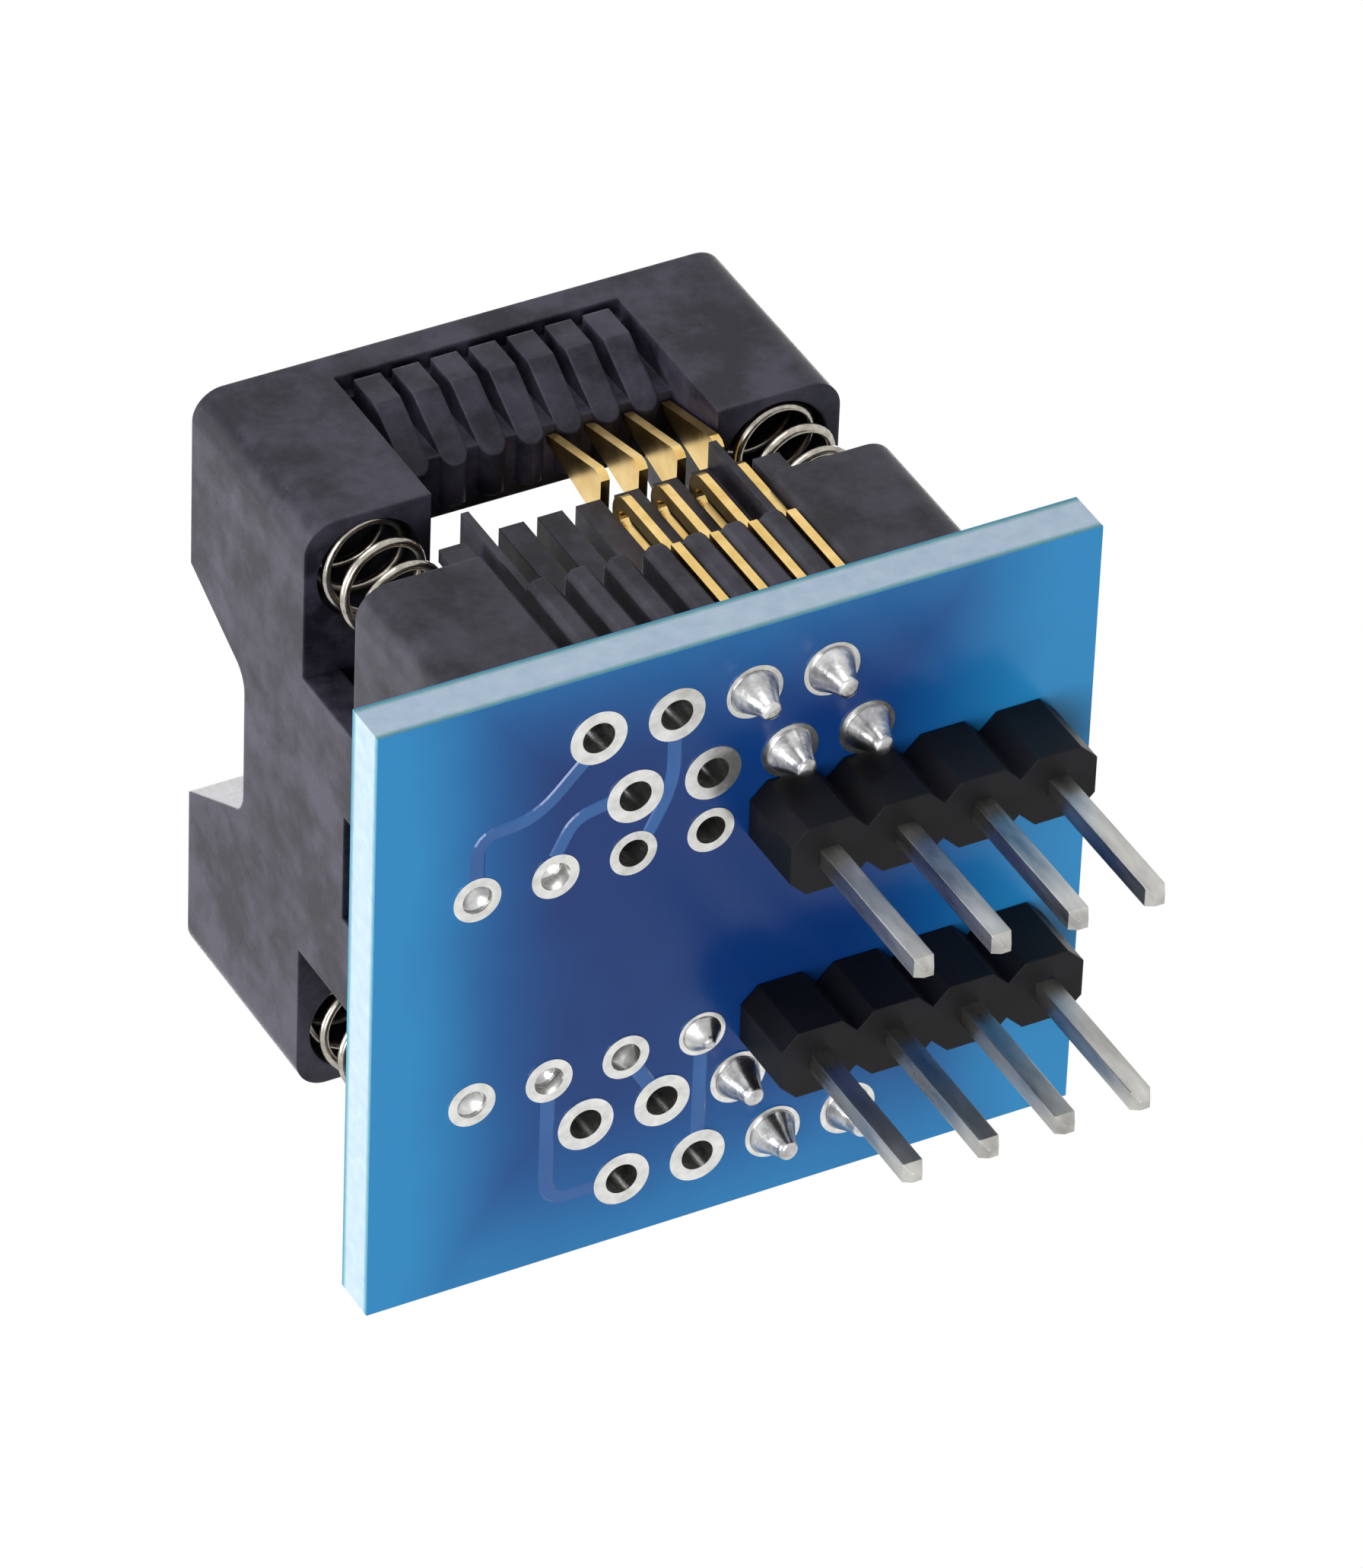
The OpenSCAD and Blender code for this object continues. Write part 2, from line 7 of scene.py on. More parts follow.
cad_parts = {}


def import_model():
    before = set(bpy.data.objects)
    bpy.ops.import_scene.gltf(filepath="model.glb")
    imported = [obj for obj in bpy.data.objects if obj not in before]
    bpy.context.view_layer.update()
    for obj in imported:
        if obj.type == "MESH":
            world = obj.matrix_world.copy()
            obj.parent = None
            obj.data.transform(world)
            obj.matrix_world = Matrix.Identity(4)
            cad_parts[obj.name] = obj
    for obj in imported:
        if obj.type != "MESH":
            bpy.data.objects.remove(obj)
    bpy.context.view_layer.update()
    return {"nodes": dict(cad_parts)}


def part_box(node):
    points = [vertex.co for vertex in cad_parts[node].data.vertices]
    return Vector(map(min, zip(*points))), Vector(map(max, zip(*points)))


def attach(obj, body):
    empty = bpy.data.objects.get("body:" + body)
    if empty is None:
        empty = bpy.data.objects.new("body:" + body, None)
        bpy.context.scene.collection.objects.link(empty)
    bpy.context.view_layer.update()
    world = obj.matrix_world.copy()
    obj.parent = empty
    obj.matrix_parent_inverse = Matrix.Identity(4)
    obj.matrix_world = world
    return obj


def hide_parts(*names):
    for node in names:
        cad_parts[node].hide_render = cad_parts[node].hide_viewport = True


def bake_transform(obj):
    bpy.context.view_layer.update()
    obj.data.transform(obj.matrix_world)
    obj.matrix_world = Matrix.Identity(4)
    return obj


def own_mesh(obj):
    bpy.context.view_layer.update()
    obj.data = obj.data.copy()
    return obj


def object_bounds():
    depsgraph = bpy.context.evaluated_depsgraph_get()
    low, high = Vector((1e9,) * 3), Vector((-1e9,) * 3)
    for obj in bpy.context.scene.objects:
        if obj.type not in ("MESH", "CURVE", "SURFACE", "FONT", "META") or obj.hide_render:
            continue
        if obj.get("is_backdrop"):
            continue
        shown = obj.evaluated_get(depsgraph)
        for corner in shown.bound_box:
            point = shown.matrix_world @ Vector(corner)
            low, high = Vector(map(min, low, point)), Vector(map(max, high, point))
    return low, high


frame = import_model()
MM = 0.001
random.seed(7)

BASE_BODY = "socket_body"

PIN_PITCH = 2.54 * MM
ROW_Y = 3.81 * MM
OUTER_Y = 8.44 * MM
INNER_Y = 5.9 * MM
CONTACT_PITCH = 1.27 * MM
SOCKET_X = -4.5 * CONTACT_PITCH
PLACES = 8
PINS_IN_ROW = 4

board_low, board_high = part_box("board")
UNDERSIDE = board_low[2]
DECK = board_high[2]


# ---- Materials --------------------------------------------------------------

def new_material(name):
    """A material with its nodes, links, shader and texture coordinates."""
    mat = bpy.data.materials.new(name)
    mat.use_nodes = True
    nodes = mat.node_tree.nodes
    return mat, nodes, mat.node_tree.links, nodes["Principled BSDF"], nodes.new("ShaderNodeTexCoord")


def noise(nodes, links, place, per_mm, detail=4.0, rough=0.55):
    """Noise over a place, with a number of features per millimetre."""
    tex = nodes.new("ShaderNodeTexNoise")
    tex.inputs["Scale"].default_value = per_mm / MM
    tex.inputs["Detail"].default_value = detail
    tex.inputs["Roughness"].default_value = rough
    links.new(place, tex.inputs["Vector"])
    return tex


def ramp(nodes, links, factor, stops):
    """Colours over a factor."""
    node = nodes.new("ShaderNodeValToRGB")
    elements = node.color_ramp.elements
    while len(elements) < len(stops):
        elements.new(0.5)
    for element, (place, colour) in zip(elements, stops):
        element.position = place
        element.color = (*colour, 1)
    links.new(factor, node.inputs["Fac"])
    return node


def span(nodes, links, value, low, high):
    """Maps 0..1 to low..high."""
    node = nodes.new("ShaderNodeMapRange")
    node.inputs["To Min"].default_value = low
    node.inputs["To Max"].default_value = high
    links.new(value, node.inputs["Value"])
    return node


def bump(nodes, links, shader, height, depth_mm, strength, edge_mm=0.0):
    """Bump from a height, over edges rounded by edge_mm."""
    node = nodes.new("ShaderNodeBump")
    node.inputs["Distance"].default_value = depth_mm * MM
    node.inputs["Strength"].default_value = strength
    links.new(height, node.inputs["Height"])
    if edge_mm:
        edge = nodes.new("ShaderNodeBevel")
        edge.samples = 6
        edge.inputs["Radius"].default_value = edge_mm * MM
        links.new(edge.outputs["Normal"], node.inputs["Normal"])
    links.new(node.outputs["Normal"], shader.inputs["Normal"])


def moulded(name, dark, light, roughness, edge_mm, fleck=0.5, gloss=0.3):
    """Filled moulded plastic: cloudy, with pale flecks and a fine grain."""
    mat, nodes, links, shader, coords = new_material(name)
    shader.inputs["Specular IOR Level"].default_value = gloss
    cloud = noise(nodes, links, coords.outputs["Object"], 0.45, 6.0, 0.65)
    grain = noise(nodes, links, coords.outputs["Object"], 9.0, 5.0, 0.7)
    base = ramp(nodes, links, cloud.outputs["Fac"], [(0.4, dark), (0.62, light)])
    specks = ramp(nodes, links, grain.outputs["Fac"], [(0.62, (0, 0, 0)), (0.74, (1, 1, 1))])
    paler = tuple(min(1, c * 1.9 + 0.02) for c in light)
    mix = nodes.new("ShaderNodeMixRGB")
    mix.inputs["Color2"].default_value = (*paler, 1)
    amount = span(nodes, links, specks.outputs["Color"], 0.0, fleck)
    links.new(amount.outputs["Result"], mix.inputs["Fac"])
    links.new(base.outputs["Color"], mix.inputs["Color1"])
    links.new(mix.outputs["Color"], shader.inputs["Base Color"])
    rough = span(nodes, links, grain.outputs["Fac"], roughness - 0.1, roughness + 0.12)
    links.new(rough.outputs["Result"], shader.inputs["Roughness"])
    bump(nodes, links, shader, grain.outputs["Fac"], 0.02, 0.35, edge_mm)
    return mat


def metal(name, dark, light, roughness, per_mm, depth_mm, edge_mm=0.0, stretch=(1, 1, 1)):
    """Plated or soldered metal, with its colour and polish slightly uneven."""
    mat, nodes, links, shader, coords = new_material(name)
    shader.inputs["Metallic"].default_value = 1.0
    mapping = nodes.new("ShaderNodeMapping")
    mapping.inputs["Scale"].default_value = stretch
    links.new(coords.outputs["Object"], mapping.inputs["Vector"])
    tex = noise(nodes, links, mapping.outputs["Vector"], per_mm)
    colour = ramp(nodes, links, tex.outputs["Fac"], [(0.3, dark), (0.7, light)])
    links.new(colour.outputs["Color"], shader.inputs["Base Color"])
    rough = span(nodes, links, tex.outputs["Fac"], roughness * 0.7, roughness * 1.4)
    links.new(rough.outputs["Result"], shader.inputs["Roughness"])
    bump(nodes, links, shader, tex.outputs["Fac"], depth_mm, 0.5, edge_mm)
    return mat


def mask_with_painted_light(nodes, links, split, cloud):
    """Mask colour over the laminate, with light and shade painted in by place: deep blue painted shade behind
    the dark socket, and paler painted light past its ends and towards the board's sides, where light shines
    through the board.
    """
    low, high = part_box("base")
    ends = []
    # Painted light: paler from the socket's ends out to the board's ends.
    for edge, board_end in ((low[0], board_low[0]), (high[0], board_high[0])):
        past = nodes.new("ShaderNodeMapRange")
        past.interpolation_type = "SMOOTHSTEP"
        past.inputs["From Min"].default_value = edge + (edge - board_end) * 1.6
        past.inputs["From Max"].default_value = board_end
        links.new(split.outputs["X"], past.inputs["Value"])
        ends.append(past.outputs["Result"])
    # Painted light: paler towards the board's back and front edges.
    for start, stop, most in ((4 * MM, 12 * MM, 0.8), (-6.5 * MM, -11.5 * MM, 0.55)):
        side = nodes.new("ShaderNodeMapRange")
        side.interpolation_type = "SMOOTHSTEP"
        side.inputs["From Min"].default_value = start
        side.inputs["From Max"].default_value = stop
        side.inputs["To Max"].default_value = most
        links.new(split.outputs["Y"], side.inputs["Value"])
        ends.append(side.outputs["Result"])
    painted_light_amount = ends[0]
    for other in ends[1:]:
        add = nodes.new("ShaderNodeMath")
        add.operation = "MAXIMUM"
        links.new(painted_light_amount, add.inputs[0])
        links.new(other, add.inputs[1])
        painted_light_amount = add.outputs["Value"]
    # Random cloudiness of the mask, added to the painted light.
    cloud_and_painted_light = nodes.new("ShaderNodeMath")
    cloud_and_painted_light.operation = "MULTIPLY_ADD"
    cloud_and_painted_light.inputs[1].default_value = 0.5
    links.new(cloud.outputs["Fac"], cloud_and_painted_light.inputs[0])
    shift = nodes.new("ShaderNodeMath")
    shift.operation = "SUBTRACT"
    shift.inputs[1].default_value = 0.22
    links.new(painted_light_amount, cloud_and_painted_light.inputs[2])
    links.new(cloud_and_painted_light.outputs["Value"], shift.inputs[0])
    # Colours run from painted shade (deep blue) to painted light (pale blue), set by place and not by any
    # lamp.
    return ramp(nodes, links, shift.outputs["Value"],
                [(0.0, (0.003, 0.032, 0.16)), (0.4, (0.006, 0.090, 0.29)), (1.0, (0.020, 0.24, 0.52))])


def laminate(name):
    """Blue solder mask with painted light and shade on the two faces, pale glass laminate with a green skin
    on the cut edges.
    """
    mat, nodes, links, shader, coords = new_material(name)
    cloud = noise(nodes, links, coords.outputs["Object"], 0.12, 3.0)
    weave = noise(nodes, links, coords.outputs["Object"], 2.2, 2.0)
    shader.inputs["Specular IOR Level"].default_value = 0.28
    split = nodes.new("ShaderNodeSeparateXYZ")
    links.new(coords.outputs["Object"], split.inputs["Vector"])
    # The mask's colour holds painted light and painted shade, set by place on the board.
    mask = mask_with_painted_light(nodes, links, split, cloud)
    height = nodes.new("ShaderNodeMapRange")
    height.inputs["From Min"].default_value = UNDERSIDE
    height.inputs["From Max"].default_value = DECK
    links.new(split.outputs["Z"], height.inputs["Value"])
    green = (0.10, 0.28, 0.30)
    pale = (0.40, 0.50, 0.60)
    edge = ramp(nodes, links, height.outputs["Result"],
                [(0.0, (0.05, 0.22, 0.42)), (0.05, green), (0.16, pale), (0.84, pale), (0.95, green),
                 (1.0, (0.05, 0.22, 0.42))])
    fibres = nodes.new("ShaderNodeMixRGB")
    fibres.blend_type = "MULTIPLY"
    fibres.inputs["Fac"].default_value = 0.5
    shade = ramp(nodes, links, weave.outputs["Fac"], [(0.3, (0.72, 0.76, 0.8)), (0.7, (1, 1, 1))])
    links.new(edge.outputs["Color"], fibres.inputs["Color1"])
    links.new(shade.outputs["Color"], fibres.inputs["Color2"])
    normal = nodes.new("ShaderNodeSeparateXYZ")
    links.new(coords.outputs["Normal"], normal.inputs["Vector"])
    flat = nodes.new("ShaderNodeMath")
    flat.operation = "ABSOLUTE"
    links.new(normal.outputs["Z"], flat.inputs[0])
    faces = nodes.new("ShaderNodeMixRGB")
    links.new(flat.outputs["Value"], faces.inputs["Fac"])
    links.new(fibres.outputs["Color"], faces.inputs["Color1"])
    links.new(mask.outputs["Color"], faces.inputs["Color2"])
    links.new(faces.outputs["Color"], shader.inputs["Base Color"])
    rough = span(nodes, links, flat.outputs["Value"], 0.75, 0.24)
    links.new(rough.outputs["Result"], shader.inputs["Roughness"])
    bump(nodes, links, shader, cloud.outputs["Fac"], 0.03, 0.25)
    return mat


def mask_over_copper(name):
    """Solder mask where it lies on a track: paler and a little greener."""
    mat, nodes, links, shader, coords = new_material(name)
    cloud = noise(nodes, links, coords.outputs["Object"], 0.5, 3.0)
    colour = ramp(nodes, links, cloud.outputs["Fac"],
                  [(0.3, (0.012, 0.080, 0.27)), (0.7, (0.018, 0.11, 0.34))])
    links.new(colour.outputs["Color"], shader.inputs["Base Color"])
    rough = span(nodes, links, cloud.outputs["Fac"], 0.18, 0.28)
    links.new(rough.outputs["Result"], shader.inputs["Roughness"])
    bump(nodes, links, shader, cloud.outputs["Fac"], 0.02, 0.2)
    return mat


COVER = moulded("cover_plastic", (0.009, 0.008, 0.014), (0.044, 0.040, 0.060), 0.4, 0.12, 0.5, 0.22)
BASE = moulded("base_plastic", (0.007, 0.007, 0.011), (0.036, 0.034, 0.048), 0.42, 0.08, 0.4, 0.22)
HEADER = moulded("header_plastic", (0.003, 0.003, 0.004), (0.005, 0.005, 0.007), 0.5, 0.07, 0.1, 0.18)
GOLD = metal("contact_gold", (0.72, 0.47, 0.14), (0.92, 0.67, 0.28), 0.2, 1.2, 0.004)
STEEL = metal("spring_wire", (0.30, 0.28, 0.24), (0.56, 0.52, 0.45), 0.22, 3.0, 0.004)
TIN = metal("pin_tin", (0.34, 0.33, 0.31), (0.62, 0.61, 0.57), 0.28, 1.5, 0.01, 0.05, (1, 1, 0.25))
SOLDER = metal("solder", (0.30, 0.30, 0.31), (0.72, 0.72, 0.71), 0.24, 1.8, 0.06)
LAND = metal("land_tin", (0.60, 0.60, 0.58), (0.82, 0.82, 0.80), 0.24, 2.0, 0.01)
BOARD = laminate("board_mask")
TRACK = mask_over_copper("track_mask")


def dress(material, *names):
    """Gives CAD nodes their finish."""
    for name in names:
        mesh = frame["nodes"][name].data
        mesh.materials.clear()
        mesh.materials.append(material)


# ---- Shared mesh helpers ----------------------------------------------------

def mesh_object(name, points, faces, material, smooth=True):
    mesh = bpy.data.meshes.new(name)
    mesh.from_pydata([tuple(p) for p in points], [], faces)
    mesh.materials.append(material)
    for polygon in mesh.polygons:
        polygon.use_smooth = smooth
    mesh.validate()
    mesh.update()
    obj = bpy.data.objects.new(name, mesh)
    bpy.context.scene.collection.objects.link(obj)
    return obj


def tube(path, radius, sides=12):
    """Points and faces of a closed round tube along a path."""
    points = []
    faces = []
    normal = Vector((0, 0, 1))
    for k, here in enumerate(path):
        ahead = path[min(k + 1, len(path) - 1)] - path[max(k - 1, 0)]
        along = ahead.normalized()
        across = along.cross(normal).normalized()
        up = across.cross(along)
        for s in range(sides):
            turn = 2 * math.pi * s / sides
            points.append(here + radius * (math.cos(turn) * across + math.sin(turn) * up))
    for k in range(len(path) - 1):
        for s in range(sides):
            a = k * sides + s
            b = k * sides + (s + 1) % sides
            faces.append((a, b, b + sides, a + sides))
    faces.append(tuple(reversed(range(sides))))
    faces.append(tuple(range((len(path) - 1) * sides, len(path) * sides)))
    return points, faces


def turned(profile, centre, sides=32, lump=0.0):
    """Points and faces of a profile of (radius, height) turned about a vertical axis."""
    phase = random.uniform(0, 2 * math.pi)
    points = []
    faces = []
    for k, (radius, height) in enumerate(profile):
        for s in range(sides):
            turn = 2 * math.pi * s / sides
            wave = 1 - lump * (0.5 + 0.5 * math.sin(2 * turn + phase + 0.7 * k / len(profile)))
            x = radius * wave * math.cos(turn)
            y = radius * wave * math.sin(turn)
            points.append(centre + Vector((x, y, height)))
    for k in range(len(profile) - 1):
        for s in range(sides):
            a = k * sides + s
            b = k * sides + (s + 1) % sides
            faces.append((a, b, b + sides, a + sides))
    faces.append(tuple(reversed(range(sides))))
    faces.append(tuple(range((len(profile) - 1) * sides, len(profile) * sides)))
    return points, faces


def joined(shapes):
    """Several (points, faces) as one."""
    points = []
    faces = []
    for some_points, some_faces in shapes:
        start = len(points)
        points += some_points
        faces += [tuple(start + i for i in face) for face in some_faces]
    return points, faces


# ---- Places -----------------------------------------------------------------

def place_x(i):
    return SOCKET_X + (i - (PLACES - 1) / 2) * CONTACT_PITCH


def hole_y(i, side):
    """Even places of the front row and odd places of the back row use the outer holes."""
    outer = (i % 2 == 0) == (side < 0)
    return side * (OUTER_Y if outer else INNER_Y)


def pin_x(k):
    """Pin places along a row, counted from the header's end of the board."""
    return ((PINS_IN_ROW - 1) / 2 - k) * PIN_PITCH


# ---- Springs ----------------------------------------------------------------

def spring(n):
    """A coil with closed ends."""
    name = f"spring_{n}"
    low, high = (Vector(v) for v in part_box(name))
    wire = 0.15 * MM
    radius = (high.x - low.x) / 2 - wire
    centre = (low + high) / 2
    height = high.z - low.z - 2 * wire
    turns = 11.5
    steps = 36
    closed = 1.25
    count = round(turns * steps)
    path = []
    for k in range(count + 1):
        turn = k / steps
        ends = 2 * wire * (min(turn, closed) + max(0, turn - (turns - closed)))
        middle = height - 2 * closed * 2 * wire
        coils = min(max(turn - closed, 0), turns - 2 * closed) / (turns - 2 * closed)
        z = low.z + wire + ends + middle * coils
        angle = 2 * math.pi * turn + n
        path.append(Vector((centre.x + radius * math.cos(angle), centre.y + radius * math.sin(angle), z)))
    obj = mesh_object(f"coil_{n}", *tube(path, wire), STEEL)
    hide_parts(name)
    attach(obj, BASE_BODY)
    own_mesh(obj)


# ---- Contacts ---------------------------------------------------------------

def contact(n):
    """The stamped sheet with its edges broken."""
    name = f"contact_{n}"
    mesh = frame["nodes"][name].data.copy()
    mesh.materials.clear()
    mesh.materials.append(GOLD)
    obj = bpy.data.objects.new(f"leaf_{n}", mesh)
    bpy.context.scene.collection.objects.link(obj)
    edges = obj.modifiers.new("edges", "BEVEL")
    edges.width = 0.03 * MM
    edges.segments = 2
    edges.limit_method = "ANGLE"
    edges.angle_limit = math.radians(40)
    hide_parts(name)
    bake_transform(obj)


# ---- Solder -----------------------------------------------------------------

def cone_profile(foot, tip, height):
    """A hollow-sided cone with a round tip, hanging from z 0 down."""
    steps = 12
    hollow = 1.25
    rows = []
    for k in range(steps + 1):
        t = k / steps
        rows.append((tip + (foot - tip) * (1 - t) ** hollow, -height * t))
    for k in (1, 2, 3):
        turn = k * math.pi / 8
        rows.append((tip * math.cos(turn), -height - tip * 0.35 * math.sin(turn)))
    return rows


def contact_joints():
    """Solder drawn up the tails under the board."""
    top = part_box("contact_solder")[1][2]
    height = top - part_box("contact_1")[0][2]
    shapes = []
    for i in range(PLACES // 2, PLACES):
        for side in (-1, 1):
            centre = Vector((place_x(i), hole_y(i, side), top))
            foot = random.uniform(0.78, 0.84) * MM
            tip = random.uniform(0.32, 0.35) * MM
            shapes.append(turned(cone_profile(foot, tip, height - 0.04 * MM), centre, 40, 0.05))
    obj = mesh_object("tail_joints", *joined(shapes), SOLDER)
    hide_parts("contact_solder")
    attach(obj, BASE_BODY)


def pin_joints():
    """Fillets round the upper ends of the header pins."""
    low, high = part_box("pin_solder")
    height = (high[2] - low[2]) * 0.9
    shapes = []
    for k in range(PINS_IN_ROW):
        for side in (-1, 1):
            centre = Vector((pin_x(k), side * ROW_Y, low[2]))
            profile = [(r, -z) for r, z in cone_profile(0.61 * MM, 0.42 * MM, height)]
            points, faces = turned(profile, centre, 40, 0.04)
            shapes.append((points, [tuple(reversed(face)) for face in faces]))
    obj = mesh_object("pin_joints", *joined(shapes), SOLDER)
    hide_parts("pin_solder")
    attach(obj, BASE_BODY)


def solder_fills():
    """Solder left in some open holes, with a sunken middle."""
    bore = 0.475 * MM
    fills = [(pin_x(7), -ROW_Y, 0.05), (pin_x(7), ROW_Y, 0.05), (pin_x(6), -ROW_Y, 0.5),
             (pin_x(6), ROW_Y, 0.4), (pin_x(5), ROW_Y, 0.9)]
    dip = 0.22 * MM
    shapes = []
    for x, y, sunk in fills:
        rim = sunk * MM
        profile = [(bore, rim + 0.3 * MM), (bore, rim)]
        profile += [(bore * f, rim + dip * (1 - f ** 2)) for f in (0.85, 0.7, 0.55, 0.4, 0.25, 0.1)]
        shapes.append(turned(profile, Vector((x, y, UNDERSIDE))))
    capped = Vector((pin_x(4), ROW_Y, UNDERSIDE - 0.05 * MM))
    shapes.append(turned(cone_profile(0.66 * MM, 0.2 * MM, 0.5 * MM), capped, 40, 0.05))
    obj = mesh_object("hole_fills", *joined(shapes), SOLDER)
    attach(obj, BASE_BODY)


# ---- Tracks -----------------------------------------------------------------

def rounded(route, radius, steps=6):
    """A route with its corners rounded."""
    path = [route[0]]
    for before, corner, after in zip(route, route[1:], route[2:]):
        back = (before - corner).normalized()
        on = (after - corner).normalized()
        reach = min(radius, (before - corner).length / 2, (after - corner).length / 2)
        start = corner + back * reach
        stop = corner + on * reach
        for k in range(steps + 1):
            t = k / steps
            path.append((1 - t) ** 2 * start + 2 * t * (1 - t) * corner + t ** 2 * stop)
    path.append(route[-1])
    return path


def track(route, width, z, height):
    """A flat ribbon with sloped sides along a route, hanging below z."""
    path = rounded([Vector((x, y, 0)) for x, y in route], 0.9 * MM)
    points = []
    faces = []
    for k, here in enumerate(path):
        along = (path[min(k + 1, len(path) - 1)] - path[max(k - 1, 0)]).normalized()
        across = Vector((-along.y, along.x, 0))
        for side, drop in ((-0.62, 0), (-0.46, 1), (0.46, 1), (0.62, 0)):
            point = here + across * width * side
            points.append(Vector((point.x, point.y, z - height * drop)))
    for k in range(len(path) - 1):
        for s in range(3):
            a = 4 * k + s
            faces.append((a, a + 1, a + 5, a + 4))
    return points, faces


def tracks():
    """Tracks under the board, from the contact holes to the pin field."""
    ring = 0.86 * MM
    pin = [pin_x(k) for k in (7, 6, 5, 4)]
    spot = [place_x(i) for i in range(PLACES)]
    routes = [
        [(spot[0] - 0.4 * ring, -OUTER_Y + 0.8 * ring), (spot[0] - 1.9 * MM, -OUTER_Y + 2.3 * MM),
         (pin[0], -ROW_Y - 2.2 * MM), (pin[0], -ROW_Y - 0.7 * MM)],
        [(spot[1] - ring, -INNER_Y), (pin[1] + 0.6 * MM, -INNER_Y + 0.2 * MM), (pin[1], -ROW_Y - 0.7 * MM)],
        [(spot[2], -OUTER_Y + ring), (spot[2], -INNER_Y), (pin[2] + 0.5 * MM, -ROW_Y - 0.55 * MM)],
        [(pin[2] + 0.4 * MM, ROW_Y + 0.6 * MM), (spot[2] - 0.4 * MM, INNER_Y - 0.8 * ring)],
        [(pin[1], ROW_Y + 0.7 * MM), (pin[1], OUTER_Y), (spot[1] - ring, OUTER_Y)],
        [(pin[3], ROW_Y + 0.7 * MM), (pin[3], OUTER_Y - ring)],
    ]
    shapes = [track(route, 0.4 * MM, UNDERSIDE + 0.004 * MM, 0.04 * MM) for route in routes]
    obj = mesh_object("tracks", *joined(shapes), TRACK, smooth=False)
    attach(obj, BASE_BODY)


# ---- Stage ------------------------------------------------------------------

def floor():
    """A pale floor at the pins' tips, seen only from above."""
    side = 2.0
    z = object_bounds()[0][2] - 0.02 * MM
    mat, nodes, links, shader, _ = new_material("floor")
    shader.inputs["Base Color"].default_value = (0.86, 0.86, 0.86, 1)
    shader.inputs["Roughness"].default_value = 0.9
    path = nodes.new("ShaderNodeLightPath")
    geometry = nodes.new("ShaderNodeNewGeometry")
    front = nodes.new("ShaderNodeMath")
    front.operation = "SUBTRACT"
    front.use_clamp = True
    links.new(path.outputs["Is Camera Ray"], front.inputs[0])
    links.new(geometry.outputs["Backfacing"], front.inputs[1])
    clear = nodes.new("ShaderNodeBsdfTransparent")
    mix = nodes.new("ShaderNodeMixShader")
    links.new(front.outputs["Value"], mix.inputs["Fac"])
    links.new(clear.outputs["BSDF"], mix.inputs[1])
    links.new(shader.outputs["BSDF"], mix.inputs[2])
    links.new(mix.outputs["Shader"], nodes["Material Output"].inputs["Surface"])
    corners = [Vector((x * side, y * side, z)) for x, y in ((-1, -1), (1, -1), (1, 1), (-1, 1))]
    mesh_object("floor", corners, [(0, 1, 2, 3)], mat, smooth=False)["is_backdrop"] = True


def lamp(name, place, aim, size, power, colour=(1, 1, 1)):
    light = bpy.data.lights.new(name, "AREA")
    light.shape = "SQUARE"
    light.size = size
    light.energy = power
    light.color = colour
    obj = bpy.data.objects.new(name, light)
    obj.location = place
    obj.rotation_euler = (Vector(aim) - Vector(place)).to_track_quat("-Z", "Y").to_euler()
    bpy.context.scene.collection.objects.link(obj)


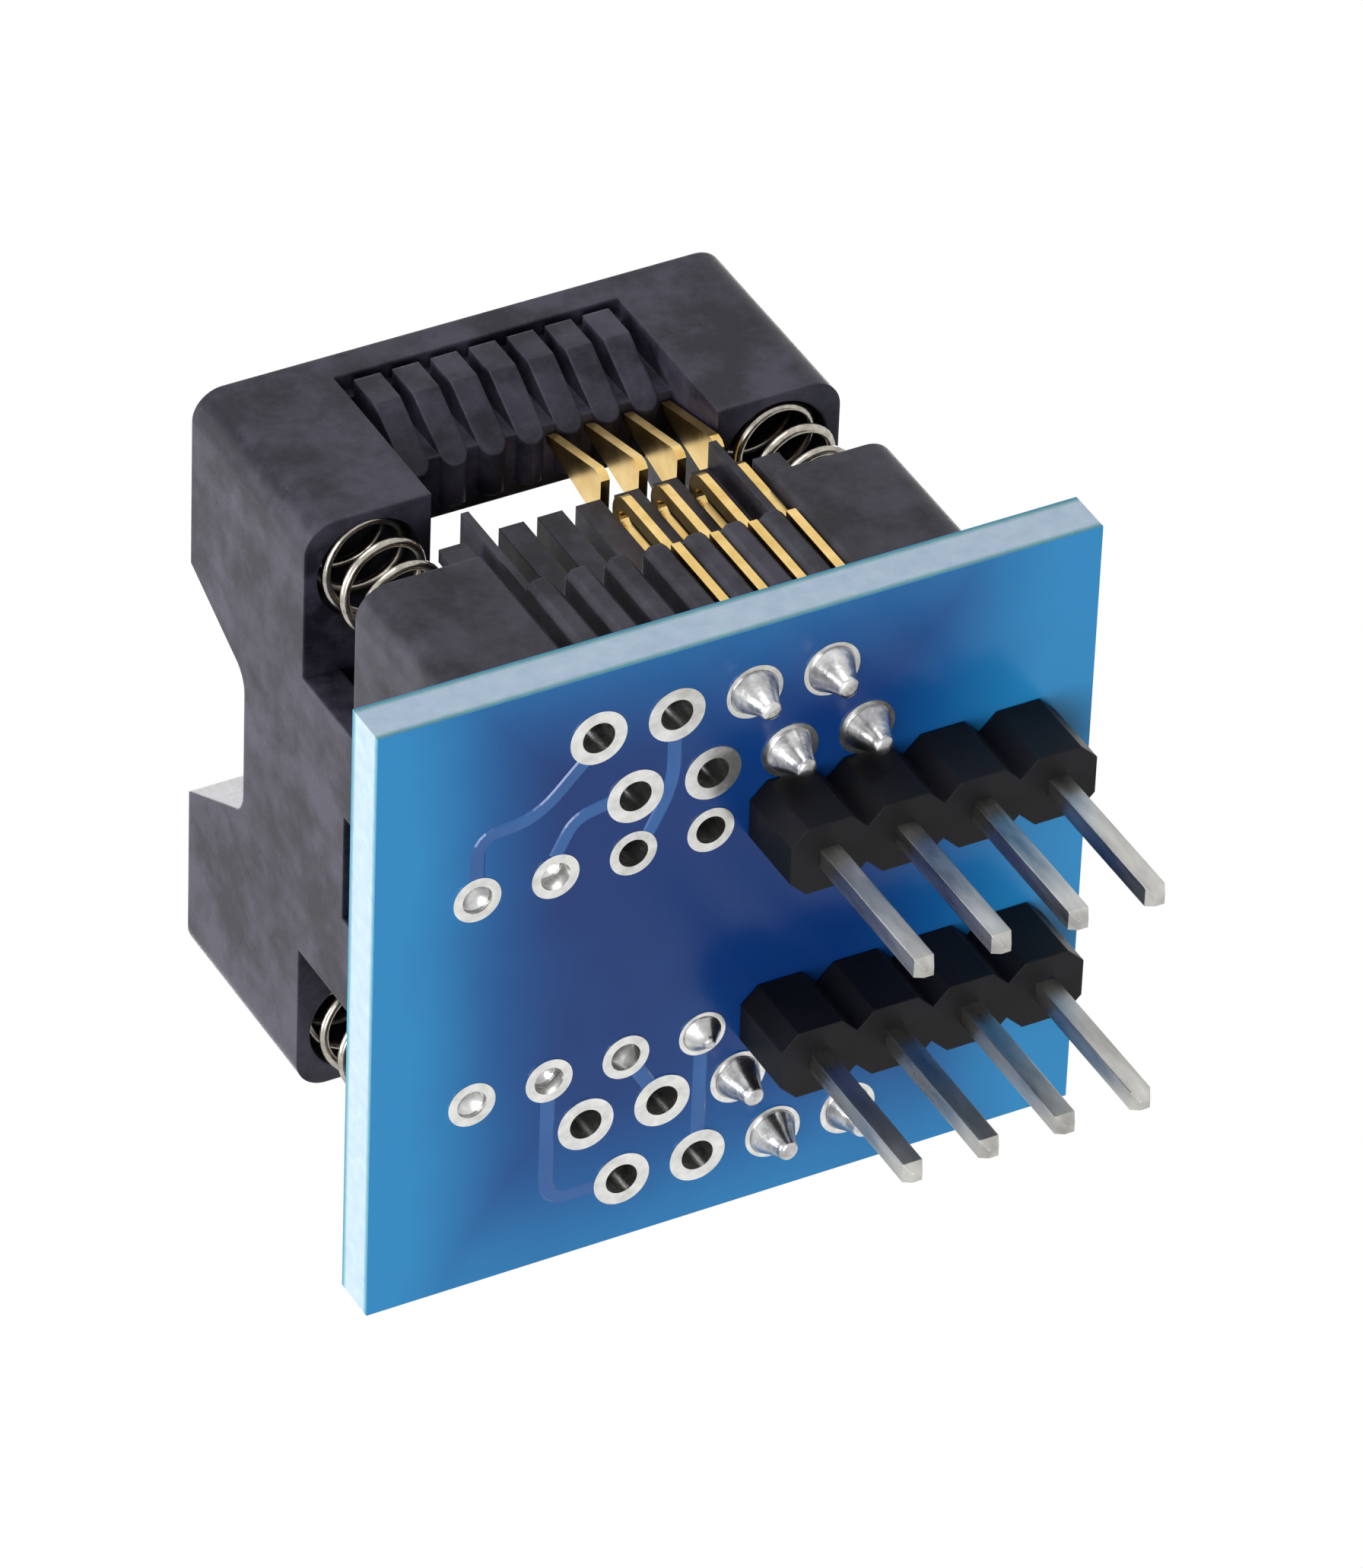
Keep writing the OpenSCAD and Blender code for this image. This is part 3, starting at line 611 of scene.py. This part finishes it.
def world():
    """White behind the object, and a soft grey light from all round."""
    scene_world = bpy.data.worlds.new("studio")
    bpy.context.scene.world = scene_world
    scene_world.use_nodes = True
    nodes = scene_world.node_tree.nodes
    links = scene_world.node_tree.links
    path = nodes.new("ShaderNodeLightPath")
    seen = nodes.new("ShaderNodeMath")
    seen.operation = "MAXIMUM"
    links.new(path.outputs["Is Camera Ray"], seen.inputs[0])
    mirrored = nodes.new("ShaderNodeMath")
    mirrored.operation = "MAXIMUM"
    links.new(path.outputs["Is Transmission Ray"], mirrored.inputs[0])
    links.new(path.outputs["Is Glossy Ray"], mirrored.inputs[1])
    links.new(mirrored.outputs["Value"], seen.inputs[1])
    white = nodes["Background"]
    white.inputs["Color"].default_value = (1, 1, 1, 1)
    white.inputs["Strength"].default_value = 1.0
    soft = nodes.new("ShaderNodeBackground")
    soft.inputs["Color"].default_value = (0.93, 0.96, 1, 1)
    soft.inputs["Strength"].default_value = 0.3
    mix = nodes.new("ShaderNodeMixShader")
    links.new(seen.outputs["Value"], mix.inputs["Fac"])
    links.new(soft.outputs["Background"], mix.inputs[1])
    links.new(white.outputs["Background"], mix.inputs[2])
    links.new(mix.outputs["Shader"], nodes["World Output"].inputs["Surface"])


def camera():
    """A long lens that looks up at the board's underside, tilted over to the right."""
    azimuth = math.radians(32.28)
    elevation = math.radians(-43.57)
    roll = math.radians(40.21)
    distance = 350.23 * MM
    aim = Vector((-5.66, -3.11, 5.62)) * MM
    look = Vector((math.sin(azimuth) * math.cos(elevation), math.cos(azimuth) * math.cos(elevation),
                   -math.sin(elevation)))
    data = bpy.data.cameras.new("camera")
    data.lens = 274.6
    data.sensor_width = 36
    data.clip_start = 0.01
    data.clip_end = 10
    obj = bpy.data.objects.new("camera", data)
    upright = look.to_track_quat("-Z", "Y").to_matrix().to_4x4()
    place = Matrix.Translation(aim - look * distance)
    obj.matrix_world = place @ upright @ Matrix.Rotation(-roll, 4, "Z")
    bpy.context.scene.collection.objects.link(obj)
    bpy.context.scene.camera = obj


# ---- Build ------------------------------------------------------------------

camera()
dress(COVER, "cover")
dress(BASE, "base")
dress(HEADER, "header_front", "header_back")
dress(BOARD, "board")
dress(LAND, "hole_plating")
dress(TIN, *[f"pin_{n}" for n in range(1, 9)])
for number in range(1, 5):
    spring(number)
for number in range(1, 9):
    contact(number)
contact_joints()
pin_joints()
solder_fills()
tracks()

floor()
world()
lamp("key", (-0.45, -0.08, 0.14), (0, 0, 0.008), 0.3, 3.0)
lamp("front", (-0.1, -0.5, 0.16), (0, 0, 0.008), 0.3, 1.2)
lamp("under", (-0.25, -0.1, -0.5), (0, 0, 0.008), 0.3, 2.6)
lamp("top", (0.15, 0.25, 0.6), (0, 0, 0.008), 0.5, 4.0)

bpy.context.scene.view_settings.view_transform = "Standard"
